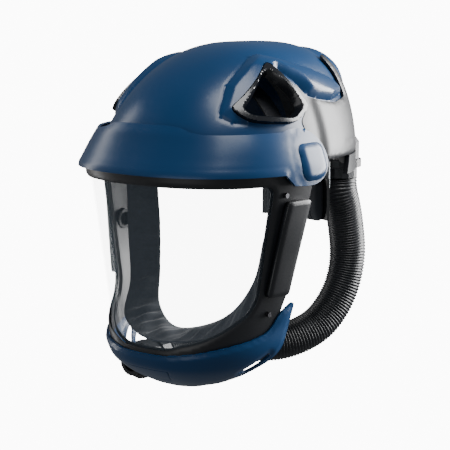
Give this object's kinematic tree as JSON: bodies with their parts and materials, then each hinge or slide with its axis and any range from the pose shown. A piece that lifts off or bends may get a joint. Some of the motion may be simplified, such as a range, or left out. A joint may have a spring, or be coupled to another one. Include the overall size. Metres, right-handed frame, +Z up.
{
  "type": "powered air respirator head-top",
  "caption": "Safety helmet with a flip-up clear visor, side windows, chin guard, head harness and a corrugated breathing hose.",
  "frame": {"origin": "centre of the headband, where the wearer's head carries the part", "axes": "+Z up, -Y out of the wearer's face, +X to the wearer's left"},
  "size_m": [0.254, 0.372, 0.3519],
  "materials": {
    "blue_shell": "satin navy blue",
    "black_plastic": "satin black moulded",
    "black_rubber": "smooth black elastomer",
    "grey_cloth": "woven slate grey",
    "pale_plastic": "pale grey",
    "steel": "brushed",
    "clear_pane": "clear polycarbonate"
  },
  "bodies": {
    "helmet": {"helmet_shell": "blue_shell", "window_bezel_left": "black_plastic", "window_bezel_right": "black_plastic", "rear_housing": "black_plastic", "housing_skirt": "black_plastic", "hose_socket": "black_plastic", "air_duct": "black_plastic", "air_deflector": "black_plastic", "headband": "black_plastic", "sweatband": "grey_cloth", "crown_strap_long": "black_plastic", "crown_strap_cross": "black_plastic", "harness_clip_left": "black_plastic", "harness_clip_right": "black_plastic", "harness_clip_front": "black_plastic", "harness_clip_rear": "black_plastic", "nape_strap_left": "pale_plastic", "nape_strap_right": "pale_plastic", "pivot_pin_left": "steel", "pivot_pin_right": "steel", "hose_cuff": "black_rubber", "breathing_hose": "black_rubber", "hose_end_cuff": "black_rubber", "hose_connector": "black_plastic", "connector_seal": "black_rubber"},
    "visor": {"brow": "blue_shell", "visor_frame": "black_plastic", "visor_pane": "clear_pane", "pane_gasket": "black_rubber", "chin_guard": "blue_shell", "name_plate": "blue_shell", "pivot_cap_left": "blue_shell", "pivot_cap_right": "blue_shell", "valve_cover_left": "black_plastic", "valve_cover_right": "black_plastic", "valve_seat_left": "black_plastic", "valve_seat_right": "black_plastic", "frame_screw_upper_left": "steel", "frame_screw_upper_right": "steel", "frame_screw_lower_left": "steel", "frame_screw_lower_right": "steel", "face_seal": "grey_cloth"},
    "nape": {"nape_cradle": "black_plastic", "nape_pad": "grey_cloth", "nape_ratchet": "black_plastic"},
    "knob": {"nape_knob": "black_plastic"},
    "union_nut": {"hose_union_nut": "black_plastic"},
    "bayonet": {"bayonet_ring": "black_plastic"},
    "flap_left": {"valve_membrane_left": "black_rubber"},
    "flap_right": {"valve_membrane_right": "black_rubber"}
  },
  "joints": [
    {"name": "visor_tilt", "type": "hinge", "parent": "helmet", "child": "visor", "pos_m": [0, -0.028, 0.013], "axis": [-1, 0, 0], "range_deg": [0, 52]},
    {"name": "nape_slide", "type": "slide", "parent": "helmet", "child": "nape", "axis": [0, -1, 0], "range_m": [0, 0.02]},
    {"name": "nape_knob_turn", "type": "hinge", "parent": "nape", "child": "knob", "pos_m": [0, 0.118, -0.044], "axis": [0, 1, 0], "range_deg": [0, 540]},
    {"name": "union_nut_turn", "type": "hinge", "parent": "helmet", "child": "union_nut", "pos_m": [0, 0.178, -0.015], "axis": [0, 0, 1], "range_deg": [0, 360]},
    {"name": "bayonet_turn", "type": "hinge", "parent": "helmet", "child": "bayonet", "pos_m": [-0.099, -0.03, -0.211], "axis": [0, -1, 0], "range_deg": [0, 60]},
    {"name": "flap_left_lift", "type": "slide", "parent": "visor", "child": "flap_left", "axis": [1, 0, 0], "range_m": [0, 0.001], "stiffness_N_per_m": 20},
    {"name": "flap_right_lift", "type": "slide", "parent": "visor", "child": "flap_right", "axis": [-1, 0, 0], "range_m": [0, 0.001], "stiffness_N_per_m": 20}
  ],
  "couplings": [
    {"joint": "nape_slide", "follows": "nape_knob_turn", "m_per_rad": 0.0021221}
  ]
}
